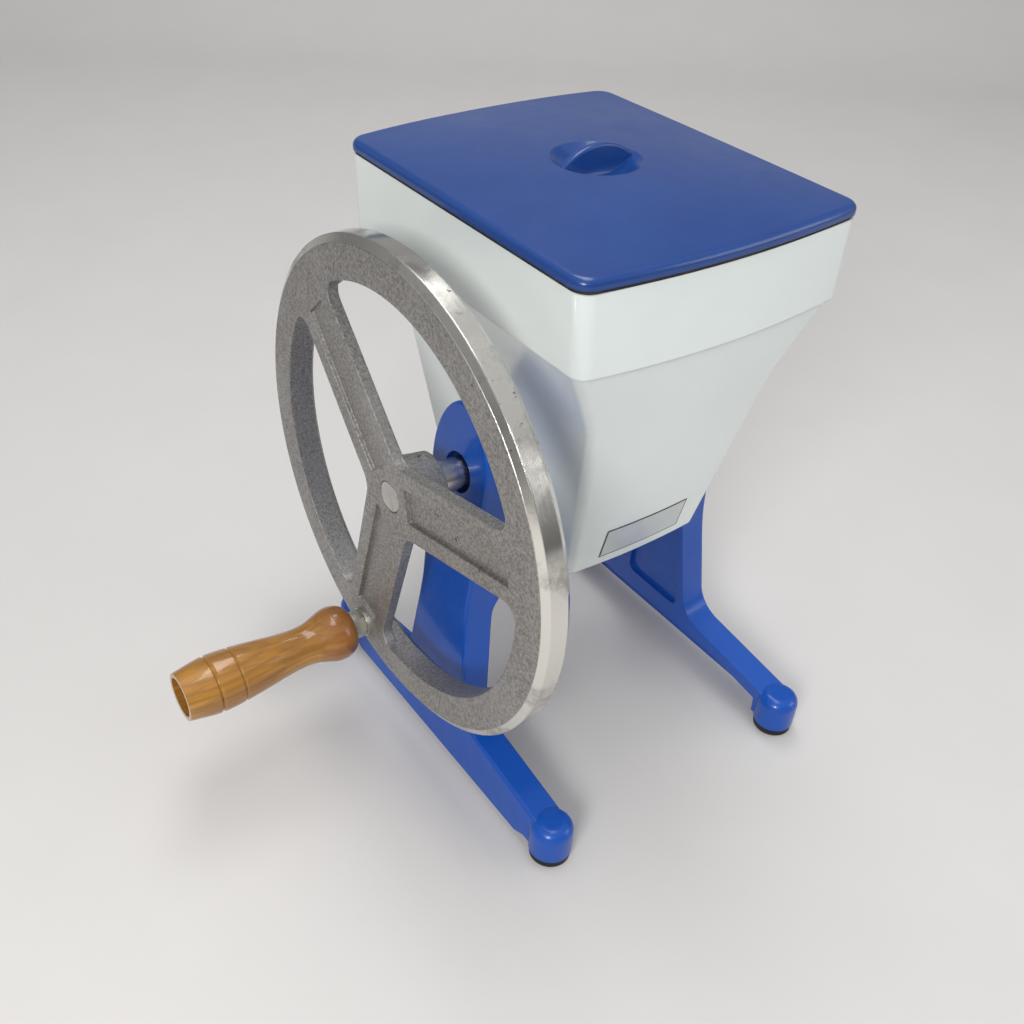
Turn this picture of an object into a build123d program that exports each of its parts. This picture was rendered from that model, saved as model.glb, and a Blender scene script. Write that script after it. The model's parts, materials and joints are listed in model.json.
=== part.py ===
"""Hand-cranked ice shaver: a covered hopper on two cast side frames, with a flywheel crank.

Loose ice drops from the hopper through a chute into a horizontal drum. A rotor on the crank shaft
sweeps it round the drum and over a fixed blade, and the shavings fall through a slot into a bowl
that stands between the frames.

Millimetres. The origin is on the table, under the shaft, midway between the side frames.
+X runs along the shaft away from the flywheel, -Y is the front, +Z is up.
"""

import math
import os

from build123d import *

# ---------------------------------------------------------------- fits
running_gap = 0.05        # radial, between a turning piece and its bearing
fit_gap = 0.02            # radial, between pieces that are pressed or pinned together
seat_gap = 0.3            # between the painted castings and the hopper's wall
screw_gap = 0.1           # radial, between a screw and its hole
end_play = 0.5            # along an axis, between a turning piece and its stop

# ---------------------------------------------------------------- shaft and flywheel
shaft_height = 219.0
shaft_d = 20.0
wheel_d = 300.0
wheel_face_x = -141.0     # outer face of the rim, where the handle stands
rim_width = 25.0
rim_depth = 18.0
rim_front_bevel = (5.0, 3.0)   # radial, axial
rim_back_bevel = 4.5
web_depth = 7.0
rim_inner_bevel = 2.5     # on the rim's inner back edge
hub_d = 44.0
hub_end_d = 38.0
hub_length = 29.0
spoke_angles = (133.4, 13.4, 253.4)
spoke_half_at_hub = 22.5
spoke_half_at_rim = 20.0
hub_corner_r = 13.0
rim_corner_r = 9.0
panel_half_width = 10.8
panel_start_r = 18.0
panel_end_gap = 7.0       # from the panel's end to the rim
panel_depth = 2.5
cast_edge_r = 1.2
wheel_pin_d = 6.0
wheel_pin_inset = 6.0     # from the hub's end to the pin

# ---------------------------------------------------------------- crank handle
stud_inset = 17.0         # from the wheel's edge to the stud
stud_angle = spoke_angles[2]
stud_d = 10.0
stud_washer_size = (20.0, 2.0)     # diameter, thickness
stud_nut_size = (17.0, 9.0)        # across flats, thickness
nut_bevel = 1.4
grip_length = 118.0
grip_outline = (               # distance from the inner end, radius
    (0.0, 13.5), (4.0, 16.9), (10.0, 18.5), (18.0, 17.3), (27.0, 14.3), (36.0, 13.2),
    (48.0, 13.9), (60.0, 15.6), (72.0, 17.2), (84.0, 18.4), (97.0, 18.9), (108.0, 17.6),
    (118.0, 15.9),
)
groove_places = (81.0, 97.0)   # distance of the two turned grooves from the inner end
groove_depth = 1.3
groove_half_width = 1.6
grip_end_bore = (26.0, 20.0)   # diameter, depth
grip_washer_size = (22.0, 2.0)
grip_nut_size = (17.0, 8.0)
sleeve_wall = 2.0

# ---------------------------------------------------------------- hopper
hopper_y = 10.6           # the hopper stands this far behind the shaft
hopper_wall = 4.0
hopper_top = 374.8
band_bottom = 329.7
funnel_bottom = 164.0
band_top_half = (94.2, 108.3)      # half width, half depth at the corners
band_top_bow = 5.5        # how far the front and back bulge at the middle
band_bottom_half = (92.2, 109.0)
band_bottom_bow = 7.8
band_corner_r = 9.0
funnel_top_half = (90.3, 106.5)
funnel_top_bow = 5.9
funnel_top_corner_r = 7.0
funnel_bottom_half = (50.8, 72.0)
funnel_bottom_bow = 2.5
funnel_bottom_corner_r = 5.0
funnel_kink = (283.0, 66.7)        # height and half width where the sides change slope
kink_blend = 1.6
kink_steps = (-28.0, -18.0, -10.0, -3.0, 4.0, 12.0, 22.0)   # sections round the kink

# ---------------------------------------------------------------- lid
gasket_height = 2.2
gasket_inset = 1.2
lid_overhang = (1.2, 0.2)          # past the hopper's rim, at the sides and at front and back
lid_bow = 7.2
lid_corner_r = 11.0
lid_rim_height = 5.6
lid_edge_r = 3.8
lid_crown = 6.0
crown_reach = 1.1                  # how far the crown's surface is carried past the lid's edge
lid_thickness = 4.0
lid_skirt = (3.0, 8.0)             # thickness, depth below the gasket
skirt_gap = 1.6                    # between the lid's skirt and the hopper's mouth
recess_d = 53.0
recess_depth = 9.0
grip_bar_half_length = 24.5
grip_bar_rise = 8.0
grip_bar_end = 1.0                 # from the lid's crown down to where its ends turn upright
grip_bar_thickness = 5.0
grip_bar_edge_r = 1.6
grip_bar_foot = 13.0               # thickness where it meets the recess

# ---------------------------------------------------------------- drum, rotor and blade
drum_bore_d = 92.0
drum_wall = 4.0
drum_half_length = 45.0
drum_mouth_rise = 33.0             # from the shaft up to the drum's cut-off rim
drum_hub_d = 50.0
drum_shoulder_d = 60.0
slot_half_length = 38.0
slot_front = 8.0                   # from the blade's edge to the slot's front edge
slot_back = 10.0
seat_overhang = 2.0                # of the blade's seat past the blade's heel
seat_ridge = (9.0, -52.0)          # height over the drum, angle round the shaft
seat_ends = (-44.0, -78.0)         # angles where the seat runs into the drum
rotor_gap = 1.5                    # radial, between the vanes and the drum
rotor_side_gap = 1.0
rotor_hub_d = 32.0
vane_count = 4
vane_root = 7.0
vane_tip = 4.0
vane_sweep = 14.0                  # degrees from the vane's root to its tip
vane_bend = 0.35                   # share of the sweep that is reached halfway out
vane_sink = 1.0                    # how far a vane's root runs into the hub
rotor_pin_d = 6.0
blade_angle = 30.0
blade_length = 32.0
blade_thickness = 3.0
blade_gap = 0.7                    # between the rotor's sweep and the blade's edge
blade_bevel = 6.0
clamp_thickness = 6.0
clamp_span = (14.0, 31.0)          # along the blade, from its edge
blade_screw_d = 6.0
blade_screw_head = (10.2, 3.9)     # across flats, height
blade_screw_x = 25.0
chute_top = 287.0
chute_wall = 2.5
chute_gap = 1.0                    # between the chute and the hopper's wall
chute_corner_r = 6.0

# ---------------------------------------------------------------- side frames
frame_foot_x = 114.2      # where the outer face would meet the table
frame_lean = 0.093        # inward run per unit of height
frame_depth = 20.5
frame_skin = 6.0
frame_lip = 4.5
frame_edge_r = 2.0
flange = 7.5              # from an upright's edge to its sunk panel
cap_rise = 46.0           # of its rounded top above the shaft
upright_widths = (        # half width, height, from the shaft down
    (28.7, 219.0), (26.8, 150.0), (26.2, 128.0), (29.3, 94.0), (33.0, 62.0),
)
upright_root = (36.0, 42.0)        # where its sides run into the legs
upright_fillet_r = 22.0
leg_bottom = 4.0
leg_rise_run = 9.0        # length over which a leg's bottom rises to the pad
leg_top_root = (50.0, 41.0)        # y, height
leg_slope = 0.149
leg_end_inset = 2.0       # from the foot's centre to the end of the leg's bar
lip_bottom = (28.0, 21.0)          # height under the upright and at the foot
lip_level_share = 0.62    # share of the leg's length over which the lip stays level
pocket_depth = 3.0
pocket_bottom = 45.0
pocket_top = 130.0
pocket_flare = 1.5
pocket_corner_r = 6.0
neck_start = 122.0        # height where the upright starts to thicken towards the hopper
neck_end = 172.0
bore_d = 26.0
bush_recess = 8.0         # from the frame's outer face to the bush
bush_gap = 0.8            # between a bush and the drum's hub
foot_x = 101.5
front_foot_y = -127.0
rear_foot_y = 119.0
foot_r = 14.0
foot_corner_r = 7.5
foot_rise = 1.6           # of the round foot above the end of its leg
pad_d = 26.4
pad_height = 6.0
foot_screw_d = 5.0
foot_screw_head = (9.0, 3.0)
foot_screw_length = 16.0
frame_screw_d = 6.0
frame_screw_circle_r = 21.0
frame_screw_count = 3
frame_screw_grip = 14.0   # length of thread in the frame
frame_screw_head = (10.0, 4.0)     # diameter, height
ring_thickness = 1.6
ring_groove_depth = 1.0

# ---------------------------------------------------------------- derived places
shaft_r = shaft_d / 2
wheel_r = wheel_d / 2
rim_inner_r = wheel_r - rim_width
panel_end_r = rim_inner_r - panel_end_gap
stud_circle_r = wheel_r - stud_inset
lid_half = (band_top_half[0] + lid_overhang[0], band_top_half[1] + lid_overhang[1])
foot_ys = (front_foot_y, rear_foot_y)
drum_bore_r = drum_bore_d / 2
drum_r = drum_bore_r + drum_wall
rotor_r = drum_bore_r - rotor_gap
rotor_half_length = drum_half_length - drum_wall - rotor_side_gap
shaft_axis = Axis((0, 0, shaft_height), (1, 0, 0))

# Seen from the handle's side: local x points to the front, local y up, local z at the viewer.
wheel_plane = Plane(origin=(wheel_face_x, 0, shaft_height), x_dir=(0, -1, 0), z_dir=(-1, 0, 0))
# A half section through the shaft: local x is the radius, local y runs along +X.
shaft_section = Plane(origin=(0, 0, shaft_height), x_dir=(0, 0, 1), z_dir=(0, 1, 0))
# Across the shaft: local x is +Y, local y is +Z, local z is +X.
cross_plane = Plane(origin=(0, 0, shaft_height), x_dir=(0, 1, 0), z_dir=(1, 0, 0))

stud_y = -stud_circle_r * math.cos(math.radians(stud_angle))
stud_z = shaft_height + stud_circle_r * math.sin(math.radians(stud_angle))
stud_axis = Axis((0, stud_y, stud_z), (1, 0, 0))
stud_section = Plane(origin=(0, stud_y, stud_z), x_dir=(0, 0, 1), z_dir=(0, 1, 0))
stud_washer_x = wheel_face_x - stud_washer_size[1]
stud_nut_x = stud_washer_x - stud_nut_size[1]
grip_inner_x = stud_nut_x - end_play
grip_outer_x = grip_inner_x - grip_length
grip_washer_x = grip_outer_x + grip_end_bore[1] - end_play


def frame_outer_x(height):
    """Distance of a side frame's outer face from the middle, at a height."""
    return frame_foot_x - frame_lean * height


def funnel_half_x(height):
    """Half width of the funnel: two straight slopes, blended round the kink."""
    kink_height, kink_half = funnel_kink
    upper = (funnel_top_half[0] - kink_half) / (band_bottom - kink_height)
    lower = (kink_half - funnel_bottom_half[0]) / (kink_height - funnel_bottom)
    rise = height - kink_height
    mean = (upper + lower) / 2 * rise
    spread = math.hypot((upper - lower) / 2 * rise, kink_blend)
    return kink_half + mean + spread


def funnel_side_x(height):
    """Half width of the lower funnel's straight side, carried up or down to any height."""
    slope = (funnel_kink[1] - funnel_bottom_half[0]) / (funnel_kink[0] - funnel_bottom)
    return funnel_bottom_half[0] + slope * (height - funnel_bottom)


def blend(low, high, share):
    """The value a share of the way from low to high."""
    return low + (high - low) * share


def bowed_outline(half_x, half_y, bow, corner_r):
    """A rectangle whose front and back bulge outwards, with rounded corners."""
    with BuildLine() as border:
        ThreePointArc((-half_x, -half_y), (0, -half_y - bow), (half_x, -half_y))
        Line((half_x, -half_y), (half_x, half_y))
        ThreePointArc((half_x, half_y), (0, half_y + bow), (-half_x, half_y))
        Line((-half_x, half_y), (-half_x, -half_y))
    fillet(make_face(border.edges()).vertices(), corner_r)


def hopper_level(height):
    """The sketch plane of a hopper section at a height."""
    return Plane.XY.offset(height).move(Location((0, hopper_y, 0)))


def funnel_section(height, inset):
    """The funnel's outline at a height, drawn in by inset."""
    share = (height - funnel_bottom) / (band_bottom - funnel_bottom)
    half_y = blend(funnel_bottom_half[1], funnel_top_half[1], share)
    bow = blend(funnel_bottom_bow, funnel_top_bow, share)
    corner_r = blend(funnel_bottom_corner_r, funnel_top_corner_r, share)
    bowed_outline(funnel_half_x(height) - inset, half_y - inset, bow, corner_r - inset / 2)


def from_axis(corner):
    """Distance of a sketch's corner from the sketch's origin."""
    return math.hypot(corner.X, corner.Y)


def ring(plane_x, section, outer_d, inner_d, length, axis):
    """A plain ring on an axis along X, from plane_x towards +X."""
    with BuildSketch(section) as profile:
        with Locations(((outer_d + inner_d) / 4, plane_x + length / 2)):
            Rectangle((outer_d - inner_d) / 2, length)
    revolve(profile.sketch, axis=axis)


# ---------------------------------------------------------------- flywheel
with BuildPart() as flywheel:
    rim_back = wheel_face_x + rim_depth
    hub_back = wheel_face_x + hub_length
    with BuildSketch(shaft_section):
        with BuildLine():
            Polyline(
                (shaft_r + fit_gap, wheel_face_x),
                (wheel_r - rim_front_bevel[0], wheel_face_x),
                (wheel_r, wheel_face_x + rim_front_bevel[1]),
                (wheel_r, rim_back - rim_back_bevel),
                (wheel_r - rim_back_bevel, rim_back),
                (rim_inner_r + rim_inner_bevel, rim_back),
                (rim_inner_r, rim_back - rim_inner_bevel),
                (rim_inner_r, wheel_face_x + web_depth),
                (hub_d / 2, wheel_face_x + web_depth),
                (hub_end_d / 2, hub_back),
                (shaft_r + fit_gap, hub_back),
                close=True,
            )
        make_face()
    revolve(axis=shaft_axis)
    # the three windows: the disc inside the rim, less the tapered spokes
    with BuildSketch(wheel_plane) as windows:
        Circle(rim_inner_r)
        for angle in spoke_angles:
            with BuildLine(Plane.XY.rotated((0, 0, angle))):
                Polyline(
                    (0, spoke_half_at_hub),
                    (wheel_r, spoke_half_at_rim),
                    (wheel_r, -spoke_half_at_rim),
                    (0, -spoke_half_at_hub),
                    close=True,
                )
            make_face(mode=Mode.SUBTRACT)
        fillet(vertices().sort_by(from_axis)[3:], rim_corner_r)
        fillet(vertices().sort_by(from_axis)[:3], hub_corner_r)
    extrude(amount=-hub_length, mode=Mode.SUBTRACT)
    # the sunk panel along each spoke
    with BuildSketch(wheel_plane):
        for angle in spoke_angles:
            with BuildLine(Plane.XY.rotated((0, 0, angle))):
                Polyline(
                    (panel_start_r, panel_half_width),
                    (panel_end_r, panel_half_width),
                    (panel_end_r, -panel_half_width),
                    (panel_start_r, -panel_half_width),
                    close=True,
                )
            make_face()
        fillet(vertices(), cast_edge_r)
    extrude(amount=-panel_depth, mode=Mode.SUBTRACT)
    # the stud's hole through the rim
    with BuildSketch(wheel_plane):
        with PolarLocations(stud_circle_r, 1, start_angle=stud_angle):
            Circle(stud_d / 2 + fit_gap)
    extrude(amount=-rim_depth, mode=Mode.SUBTRACT)
    # the cross hole for the pin
    with BuildSketch(Plane.XY.offset(shaft_height)):
        with Locations((hub_back - wheel_pin_inset, 0)):
            Circle(wheel_pin_d / 2 + fit_gap)
    extrude(amount=hub_d / 2, both=True, mode=Mode.SUBTRACT)
flywheel.part.label = "flywheel"

with BuildPart() as flywheel_pin:
    with BuildSketch(Plane.XY.offset(shaft_height)):
        with Locations((hub_back - wheel_pin_inset, 0)):
            Circle(wheel_pin_d / 2)
    extrude(amount=hub_end_d / 2, both=True)
flywheel_pin.part.label = "flywheel_pin"

# ---------------------------------------------------------------- shaft and bushes
bush_outer_x = frame_outer_x(shaft_height) - bush_recess
bush_inner_x = funnel_side_x(shaft_height + drum_hub_d / 2) + seat_gap + bush_gap
washer_thickness = ring_thickness
ring_x = bush_outer_x + end_play + washer_thickness
shaft_end_x = ring_x + 2 * ring_thickness

with BuildPart() as main_shaft:
    with BuildSketch(cross_plane.offset(wheel_face_x)):
        Circle(shaft_r)
    extrude(amount=shaft_end_x - wheel_face_x)
    chamfer(main_shaft.edges().filter_by(GeomType.CIRCLE).sort_by(Axis.X), 0.8)
    with BuildSketch(cross_plane.offset(ring_x)):
        Circle(shaft_d)
        Circle(shaft_r - ring_groove_depth, mode=Mode.SUBTRACT)
    extrude(amount=ring_thickness, mode=Mode.SUBTRACT)
    with BuildSketch(Plane.XY.offset(shaft_height)):
        with Locations((hub_back - wheel_pin_inset, 0)):
            Circle(wheel_pin_d / 2 + fit_gap)
        Circle(rotor_pin_d / 2 + fit_gap)
    extrude(amount=shaft_d, both=True, mode=Mode.SUBTRACT)
main_shaft.part.label = "main_shaft"

bushes = {}
for side, sign in (("left", -1), ("right", 1)):
    with BuildPart() as bush:
        ring(
            min(sign * bush_outer_x, sign * bush_inner_x), shaft_section,
            bore_d - 2 * fit_gap, shaft_d + 2 * running_gap, bush_outer_x - bush_inner_x,
            shaft_axis,
        )
    bush.part.label = f"{side}_bush"
    bushes[side] = bush

with BuildPart() as thrust_washer:
    ring(
        bush_outer_x + end_play, shaft_section, bore_d - 2.0, shaft_d + 2 * running_gap,
        washer_thickness, shaft_axis,
    )
thrust_washer.part.label = "thrust_washer"

with BuildPart() as retaining_ring:
    ring(
        ring_x + fit_gap, shaft_section, shaft_d + 5.0,
        shaft_d - 2 * ring_groove_depth + 2 * fit_gap, ring_thickness - 2 * fit_gap, shaft_axis,
    )
    with BuildSketch(cross_plane.offset(ring_x)):
        with Locations((0, shaft_r)):
            Rectangle(shaft_r / 2, shaft_d)
    extrude(amount=ring_thickness, mode=Mode.SUBTRACT)
retaining_ring.part.label = "retaining_ring"

# ---------------------------------------------------------------- crank handle
with BuildPart() as crank_stud:
    stud_inner_x = wheel_face_x + rim_depth
    stud_outer_x = grip_washer_x - grip_washer_size[1] - grip_nut_size[1] - 2 * end_play
    with BuildSketch(cross_plane.offset(stud_outer_x)):
        with Locations((stud_y, stud_z - shaft_height)):
            Circle(stud_d / 2)
    extrude(amount=stud_inner_x - stud_outer_x)
    chamfer(crank_stud.edges().filter_by(GeomType.CIRCLE).sort_by(Axis.X)[0], 0.8)
crank_stud.part.label = "crank_stud"

with BuildPart() as stud_washer:
    ring(
        stud_washer_x, stud_section, stud_washer_size[0], stud_d + 2 * fit_gap,
        stud_washer_size[1], stud_axis,
    )
stud_washer.part.label = "stud_washer"


def hex_nut(at_x, across_flats, thickness):
    """A hexagon nut on the stud, from at_x towards +X, with its corners bevelled."""
    with BuildSketch(cross_plane.offset(at_x)) as hexagon:
        with Locations((stud_y, stud_z - shaft_height)):
            RegularPolygon(across_flats / 2, 6, major_radius=False)
            Circle(stud_d / 2 + fit_gap, mode=Mode.SUBTRACT)
    extrude(hexagon.sketch, amount=thickness)
    corner_r = across_flats / math.sqrt(3)
    with BuildSketch(stud_section) as turned:
        with BuildLine():
            Polyline(
                (0, at_x), (corner_r - nut_bevel, at_x), (corner_r, at_x + nut_bevel / 2),
                (corner_r, at_x + thickness - nut_bevel / 2),
                (corner_r - nut_bevel, at_x + thickness),
                (0, at_x + thickness), close=True,
            )
        make_face()
    revolve(turned.sketch, axis=stud_axis, mode=Mode.INTERSECT)


with BuildPart() as stud_nut:
    hex_nut(stud_nut_x, stud_nut_size[0], stud_nut_size[1])
stud_nut.part.label = "stud_nut"

with BuildPart() as handle_washer:
    ring(
        grip_washer_x - grip_washer_size[1], stud_section, grip_washer_size[0],
        stud_d + 2 * fit_gap, grip_washer_size[1], stud_axis,
    )
handle_washer.part.label = "handle_washer"

with BuildPart() as handle_nut:
    handle_nut_x = grip_washer_x - grip_washer_size[1] - grip_nut_size[1]
    hex_nut(handle_nut_x, grip_nut_size[0], grip_nut_size[1])
handle_nut.part.label = "handle_nut"

sleeve_r = stud_d / 2 + running_gap + sleeve_wall
bore_floor_x = grip_outer_x + grip_end_bore[1]

with BuildPart() as handle_grip:
    with BuildSketch(stud_section):
        with BuildLine():
            outline = [(radius, grip_inner_x - along) for along, radius in grip_outline]
            Spline(*outline)
            Polyline(
                outline[-1],
                (grip_end_bore[0] / 2, grip_outer_x),
                (grip_end_bore[0] / 2, bore_floor_x),
                (sleeve_r + fit_gap, bore_floor_x),
                (sleeve_r + fit_gap, grip_inner_x),
                outline[0],
            )
        make_face()
    revolve(axis=stud_axis)
    # the two turned grooves
    for place in groove_places:
        groove_x = grip_inner_x - place
        near = min(grip_outline, key=lambda point: abs(point[0] - place))
        groove_r = near[1] - groove_depth
        with BuildSketch(stud_section):
            with BuildLine():
                Polyline(
                    (groove_r, groove_x),
                    (groove_r + 2 * groove_depth, groove_x - 2 * groove_half_width),
                    (groove_r + 2 * groove_depth, groove_x + 2 * groove_half_width),
                    close=True,
                )
            make_face()
        revolve(axis=stud_axis, mode=Mode.SUBTRACT)
handle_grip.part.label = "handle_grip"

with BuildPart() as handle_sleeve:
    ring(
        bore_floor_x, stud_section, 2 * sleeve_r, stud_d + 2 * running_gap,
        grip_inner_x - bore_floor_x, stud_axis,
    )
handle_sleeve.part.label = "handle_sleeve"

# ---------------------------------------------------------------- hopper housing
funnel_heights = [funnel_bottom, *[funnel_kink[0] + step for step in kink_steps], band_bottom]

with BuildPart() as hopper_housing:
    for height in funnel_heights:
        with BuildSketch(hopper_level(height)):
            funnel_section(height, 0)
    loft(ruled=True)
    with BuildSketch(hopper_level(band_bottom)):
        bowed_outline(band_bottom_half[0], band_bottom_half[1], band_bottom_bow, band_corner_r)
    with BuildSketch(hopper_level(hopper_top)):
        bowed_outline(band_top_half[0], band_top_half[1], band_top_bow, band_corner_r)
    loft(ruled=True)
    # hollow it: the funnel's inside, then the band's
    for height in funnel_heights:
        with BuildSketch(hopper_level(height)):
            funnel_section(height, hopper_wall)
    loft(ruled=True, mode=Mode.SUBTRACT)
    with BuildSketch(hopper_level(band_bottom)):
        funnel_section(band_bottom, hopper_wall)
    with BuildSketch(hopper_level(hopper_top)):
        bowed_outline(
            band_top_half[0] - hopper_wall, band_top_half[1] - hopper_wall, band_top_bow,
            band_corner_r - hopper_wall / 2,
        )
    loft(ruled=True, mode=Mode.SUBTRACT)
    # the hole in each side for the drum's hub
    with BuildSketch(cross_plane):
        Circle(drum_hub_d / 2 + seat_gap)
    extrude(amount=band_top_half[0], both=True, mode=Mode.SUBTRACT)
hopper_housing.part.label = "hopper_housing"

# ---------------------------------------------------------------- lid
lid_bottom = hopper_top + gasket_height
lid_rim_top = lid_bottom + lid_rim_height
lid_top = lid_rim_top + lid_crown


def crown_block(low, rim_top):
    """A block from low up to the lid's crown: domed in the middle, level along all four sides."""
    half_x = crown_reach * lid_half[0]
    half_y = crown_reach * (lid_half[1] + lid_bow)
    pull = {-1: 1 - crown_reach ** 2, 0: 1 + crown_reach ** 2, 1: 1 - crown_reach ** 2}
    net = [
        [
            (x * half_x, hopper_y + y * half_y, rim_top + lid_crown * pull[x] * pull[y])
            for y in pull
        ]
        for x in pull
    ]
    return Solid.extrude(Face.make_bezier_surface(net), Vector(0, 0, low - rim_top - lid_crown))


with BuildPart() as lid_grip_bar:
    bar_top = lid_top + grip_bar_rise
    bar_low = lid_top - recess_depth - lid_thickness / 2
    bar_end_z = lid_top - grip_bar_end
    with BuildSketch(Plane.XZ.offset(-hopper_y)):
        with BuildLine():
            Polyline(
                (-grip_bar_half_length, bar_end_z), (-grip_bar_half_length, bar_low),
                (grip_bar_half_length, bar_low), (grip_bar_half_length, bar_end_z),
            )
            ThreePointArc(
                (grip_bar_half_length, bar_end_z), (0, bar_top), (-grip_bar_half_length, bar_end_z)
            )
        make_face()
    extrude(amount=grip_bar_foot, both=True)
    # both faces flare out to the foot
    half_top = grip_bar_thickness / 2
    half_foot = grip_bar_foot / 2
    waist_z = lid_top - recess_depth / 3
    with BuildSketch(Plane.YZ):
        with BuildLine():
            for flip in (-1, 1):
                Line((hopper_y, bar_top), (hopper_y + flip * half_top, bar_top))
                Line((hopper_y + flip * half_top, bar_top), (hopper_y + flip * half_top, waist_z))
                ThreePointArc(
                    (hopper_y + flip * half_top, waist_z),
                    (hopper_y + flip * blend(half_top, half_foot, 0.3), blend(waist_z, bar_low, 0.6)),
                    (hopper_y + flip * half_foot, bar_low),
                )
                Line((hopper_y + flip * half_foot, bar_low), (hopper_y, bar_low))
        make_face()
    extrude(amount=lid_half[0], both=True, mode=Mode.INTERSECT)
    top_edges = lid_grip_bar.faces().sort_by(Axis.Z)[-1].edges().filter_by(GeomType.CIRCLE)
    fillet(top_edges, grip_bar_edge_r)

with BuildPart() as lid_hollow:
    with BuildSketch(hopper_level(lid_bottom)):
        bowed_outline(
            lid_half[0] - lid_thickness, lid_half[1] - lid_thickness, lid_bow,
            lid_corner_r - lid_thickness / 2,
        )
    extrude(amount=lid_rim_height + lid_crown)
    add(crown_block(lid_bottom, lid_rim_top - lid_thickness), mode=Mode.INTERSECT)

skirt_clear = hopper_wall + skirt_gap
skirt_half = (band_top_half[0] - skirt_clear, band_top_half[1] - skirt_clear)
recess_ball_r = ((recess_d / 2) ** 2 + recess_depth ** 2) / (2 * recess_depth)
recess_ball_z = lid_top - recess_depth + recess_ball_r

with BuildPart() as lid_bowl:
    with Locations((0, hopper_y, recess_ball_z)):
        Sphere(recess_ball_r + lid_thickness)
    with BuildSketch(Plane.XY.offset(lid_top - recess_depth - lid_thickness)):
        with Locations((0, hopper_y)):
            Circle(recess_d / 2 + lid_thickness)
    extrude(amount=recess_depth + lid_thickness / 2, mode=Mode.INTERSECT)

with BuildSketch() as skirt_hole:
    bowed_outline(
        skirt_half[0] - lid_skirt[0], skirt_half[1] - lid_skirt[0], band_top_bow,
        band_corner_r - skirt_clear / 2 - lid_skirt[0] / 2,
    )

with BuildPart() as lid:
    with BuildSketch(hopper_level(lid_bottom)):
        bowed_outline(lid_half[0], lid_half[1], lid_bow, lid_corner_r)
    extrude(amount=lid_rim_height + lid_crown)
    add(crown_block(lid_bottom, lid_rim_top), mode=Mode.INTERSECT)
    fillet(lid.faces().sort_by(Axis.Z)[-1].edges(), lid_edge_r)
    add(lid_hollow.part, mode=Mode.SUBTRACT)
    # the dished finger recess, with its floor carried below the lid's skin
    add(lid_bowl.part)
    with Locations((0, hopper_y, recess_ball_z)):
        Sphere(recess_ball_r, mode=Mode.SUBTRACT)
    add(lid_grip_bar.part)
    # the skirt that drops inside the hopper's mouth
    skirt_root = lid_rim_top - lid_thickness / 2
    skirt_low = hopper_top - lid_skirt[1]
    with BuildSketch(hopper_level(skirt_low)):
        bowed_outline(
            skirt_half[0], skirt_half[1], band_top_bow, band_corner_r - skirt_clear / 2,
        )
        add(skirt_hole.sketch_local, mode=Mode.SUBTRACT)
    extrude(amount=skirt_root - skirt_low)
lid.part.label = "lid"

with BuildPart() as lid_gasket:
    with BuildSketch(hopper_level(hopper_top)):
        bowed_outline(
            lid_half[0] - gasket_inset, lid_half[1] - gasket_inset, lid_bow,
            lid_corner_r - gasket_inset / 2,
        )
    extrude(amount=gasket_height)
    with BuildSketch(hopper_level(hopper_top)):
        bowed_outline(
            skirt_half[0] + fit_gap, skirt_half[1] + fit_gap, band_top_bow,
            band_corner_r - skirt_clear / 2,
        )
    extrude(amount=gasket_height, mode=Mode.SUBTRACT)
lid_gasket.part.label = "lid_gasket"

# ---------------------------------------------------------------- drum
wall_slope = (funnel_side_x(hopper_top) - funnel_side_x(funnel_bottom)) / (hopper_top - funnel_bottom)


def side_plane(sign, offset):
    """The plane of the funnel's lower side, moved outwards by offset, facing outwards."""
    return Plane(
        origin=(sign * (funnel_side_x(funnel_bottom) + offset), 0, funnel_bottom),
        x_dir=(0, 1, 0), z_dir=(sign, 0, -wall_slope),
    )


def polar(radius, degrees):
    """A point in the cross plane, given round the shaft."""
    turn = math.radians(degrees)
    return (radius * math.cos(turn), radius * math.sin(turn))


blade_edge_r = rotor_r + blade_gap
blade_turn = math.radians(blade_angle)


def blade_point(along, below):
    """A cross-plane point: a distance along the blade from its edge, and below its seat."""
    return (
        along * math.cos(blade_turn) - below * math.sin(blade_turn),
        -blade_edge_r - along * math.sin(blade_turn) - below * math.cos(blade_turn),
    )


# local x along the blade's edge, local y from the heel to the edge, local z away from the seat
blade_plane = Plane(
    origin=(0, 0, shaft_height - blade_edge_r), x_dir=(1, 0, 0),
    z_dir=(0, -math.sin(blade_turn), -math.cos(blade_turn)),
)
blade_half_length = slot_half_length - end_play
blade_screw_y = -(clamp_span[0] + clamp_span[1]) / 2
blade_screw_places = ((-blade_screw_x, blade_screw_y), (blade_screw_x, blade_screw_y))
blade_screw_bite = 9.0
seat_start = slot_back / math.cos(blade_turn)
drum_inside_x = drum_half_length - drum_wall

with BuildPart() as drum_shoulder:
    with BuildSketch(cross_plane):
        Circle(drum_shoulder_d / 2)
    extrude(amount=band_top_half[0], both=True)
    for sign in (-1, 1):
        split(bisect_by=side_plane(sign, -hopper_wall - seat_gap), keep=Keep.BOTTOM)

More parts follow.
